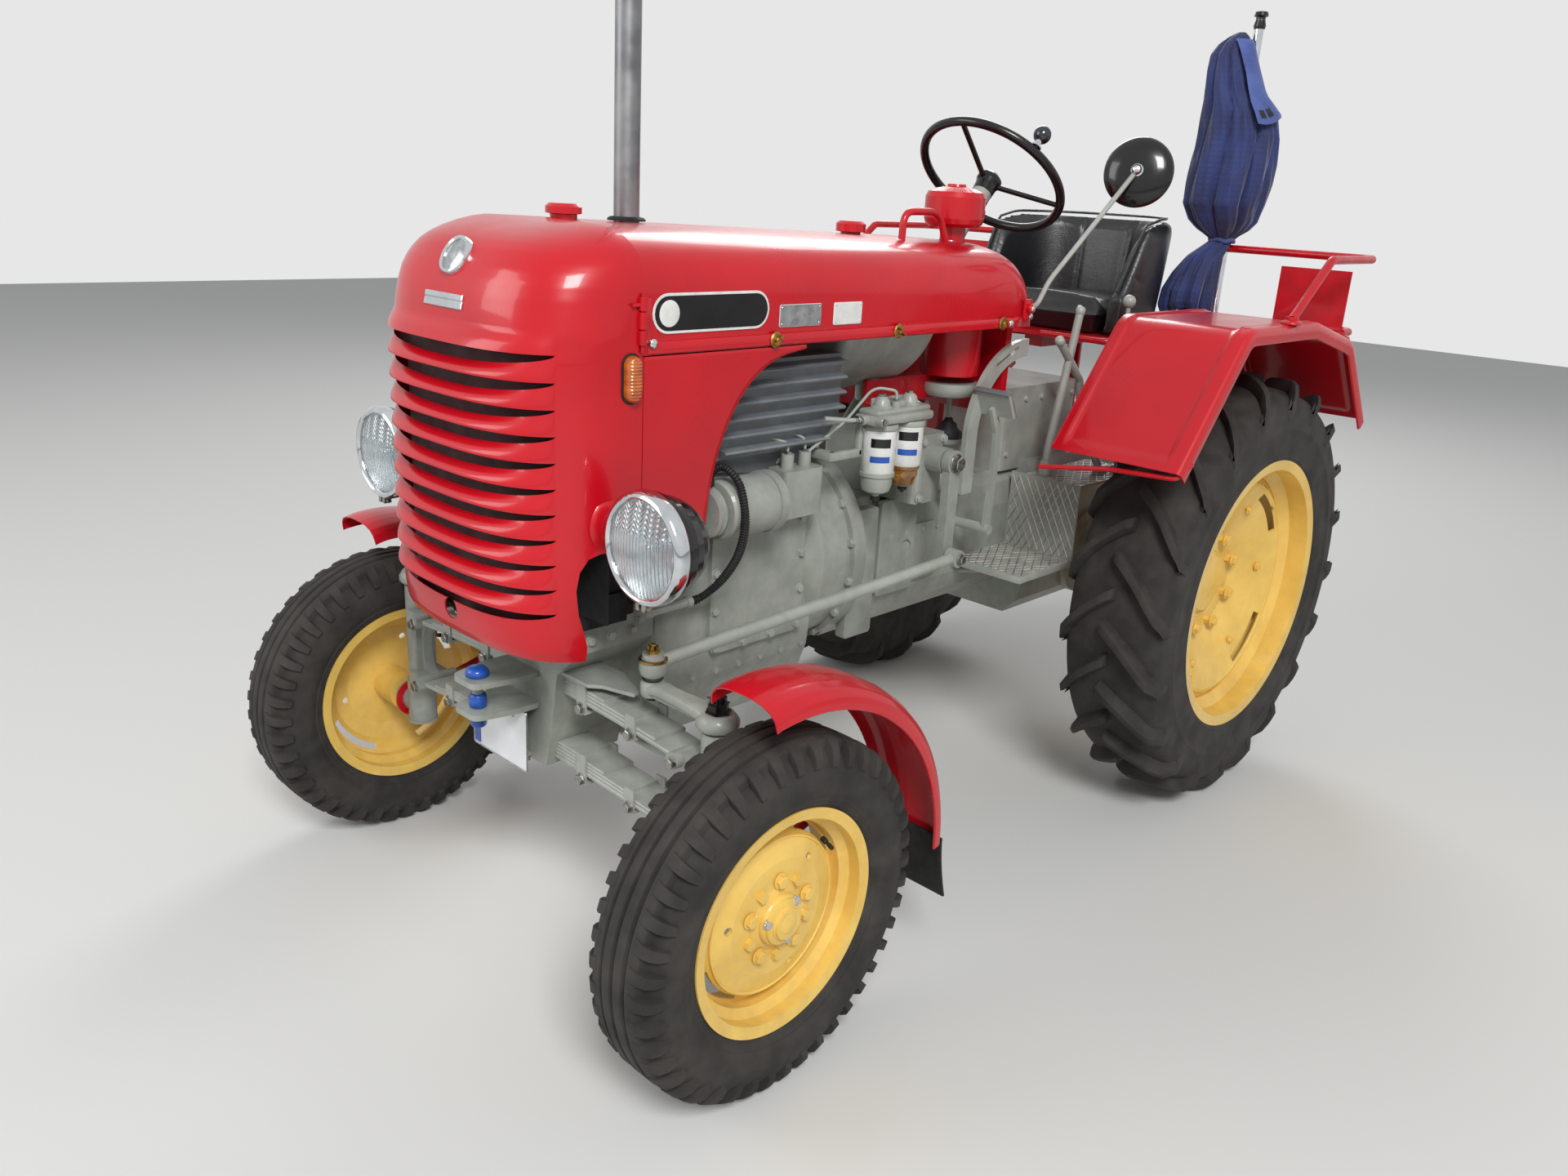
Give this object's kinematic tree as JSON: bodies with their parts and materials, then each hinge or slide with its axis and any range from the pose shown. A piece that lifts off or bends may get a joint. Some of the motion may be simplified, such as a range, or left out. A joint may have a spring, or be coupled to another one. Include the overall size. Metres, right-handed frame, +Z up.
{
  "type": "vintage tractor",
  "caption": "Small vintage farm tractor with a rounded louvred cowl, open engine sides, twin transverse leaf springs in front and a folded parasol.",
  "frame": {"origin": "on the ground, under the middle of the tractor's length and width", "axes": "+Z up, the front faces -Y, the tractor's left side is +X"},
  "size_m": [1.564, 2.787, 2.26],
  "materials": {
    "red_paint": "glossy",
    "grey_paint": "satin",
    "cream_paint": "glossy",
    "black_paint": "satin",
    "dark_metal": "rough",
    "bare_steel": "worn",
    "tyre_rubber": "matte",
    "lens_glass": "clear",
    "amber_plastic": "glossy",
    "seat_vinyl": "glossy",
    "canvas": "woven",
    "wheel_plastic": "glossy"
  },
  "bodies": {
    "chassis": {"engine": "grey_paint", "transmission": "grey_paint", "front_support": "grey_paint", "radiator": "dark_metal", "cowl": "red_paint", "bonnet": "red_paint", "dash": "red_paint", "exhaust": "bare_steel", "air_cleaner": "red_paint", "bonnet_fittings": "red_paint", "headlamp_shells": "black_paint", "headlamp_lenses": "lens_glass", "side_markers": "amber_plastic", "intake_cover": "dark_metal", "fuel_tank": "grey_paint", "engine_auxiliaries": "grey_paint", "wiring_conduit": "black_paint", "fuel_filters": "grey_paint", "steering_column": "grey_paint", "rear_fenders": "red_paint", "fender_rails": "red_paint", "seat_frame": "red_paint", "seat_cushion": "seat_vinyl", "seat_back": "seat_vinyl", "footboards": "grey_paint", "controls": "grey_paint", "leaf_springs": "grey_paint", "kingpin_carriers": "grey_paint", "rear_hitch": "grey_paint", "rear_view_mirror": "wheel_plastic", "parasol_mast": "bare_steel", "parasol_cover": "canvas"},
    "knuckle_left": {"knuckle_left": "grey_paint", "front_fender_left": "red_paint"},
    "knuckle_right": {"knuckle_right": "grey_paint", "front_fender_right": "red_paint"},
    "front_wheel_left": {"front_rim_left": "cream_paint", "front_tyre_left": "tyre_rubber"},
    "front_wheel_right": {"front_rim_right": "cream_paint", "front_tyre_right": "tyre_rubber"},
    "rear_wheel_left": {"rear_rim_left": "cream_paint", "rear_tyre_left": "tyre_rubber"},
    "rear_wheel_right": {"rear_rim_right": "cream_paint", "rear_tyre_right": "tyre_rubber"},
    "steering_wheel": {"steering_wheel": "wheel_plastic"},
    "drop_arm": {"drop_arm": "grey_paint"},
    "drag_link": {"drag_link": "grey_paint"},
    "tie_rod": {"tie_rod": "grey_paint"}
  },
  "joints": [
    {"name": "steer_left", "type": "hinge", "parent": "chassis", "child": "knuckle_left", "pos_m": [0.53, -1.04, 0.352], "axis": [0, 0, 1], "range_deg": [-30, 30]},
    {"name": "steer_right", "type": "hinge", "parent": "chassis", "child": "knuckle_right", "pos_m": [-0.53, -1.04, 0.352], "axis": [0, 0, 1], "range_deg": [-30, 30]},
    {"name": "front_left_spin", "type": "hinge", "parent": "knuckle_left", "child": "front_wheel_left", "pos_m": [0.667, -1.04, 0.352], "axis": [1, 0, 0], "continuous": true},
    {"name": "front_right_spin", "type": "hinge", "parent": "knuckle_right", "child": "front_wheel_right", "pos_m": [-0.667, -1.04, 0.352], "axis": [1, 0, 0], "continuous": true},
    {"name": "rear_left_spin", "type": "hinge", "parent": "chassis", "child": "rear_wheel_left", "pos_m": [0.613, 0.796, 0.599], "axis": [1, 0, 0], "continuous": true},
    {"name": "rear_right_spin", "type": "hinge", "parent": "chassis", "child": "rear_wheel_right", "pos_m": [-0.613, 0.796, 0.599], "axis": [1, 0, 0], "continuous": true},
    {"name": "steering_wheel_turn", "type": "hinge", "parent": "chassis", "child": "steering_wheel", "pos_m": [0, 0.402, 1.663], "axis": [0, 0.6428, 0.766], "range_deg": [-421, 421]},
    {"name": "drop_arm_swing", "type": "hinge", "parent": "chassis", "child": "drop_arm", "pos_m": [0.3, -0.085, 1.002], "axis": [1, 0, 0], "range_deg": [-24, 24]},
    {"name": "drag_link_pitch", "type": "hinge", "parent": "drop_arm", "child": "drag_link", "pos_m": [0.345, -0.085, 0.77], "axis": [1, 0, 0], "range_deg": [-24, 24]},
    {"name": "tie_rod_yaw", "type": "hinge", "parent": "knuckle_left", "child": "tie_rod", "pos_m": [0.53, -0.855, 0.396], "axis": [0, 0, 1], "range_deg": [-30.5, 30.5]}
  ],
  "couplings": [
    {"joint": "steer_right", "follows": "steer_left", "ratio": 1},
    {"joint": "steering_wheel_turn", "follows": "steer_left", "ratio": 14},
    {"joint": "drop_arm_swing", "follows": "steer_left", "ratio": -0.79741},
    {"joint": "drag_link_pitch", "follows": "steer_left", "ratio": 0.79741},
    {"joint": "tie_rod_yaw", "follows": "steer_left", "ratio": -1}
  ]
}
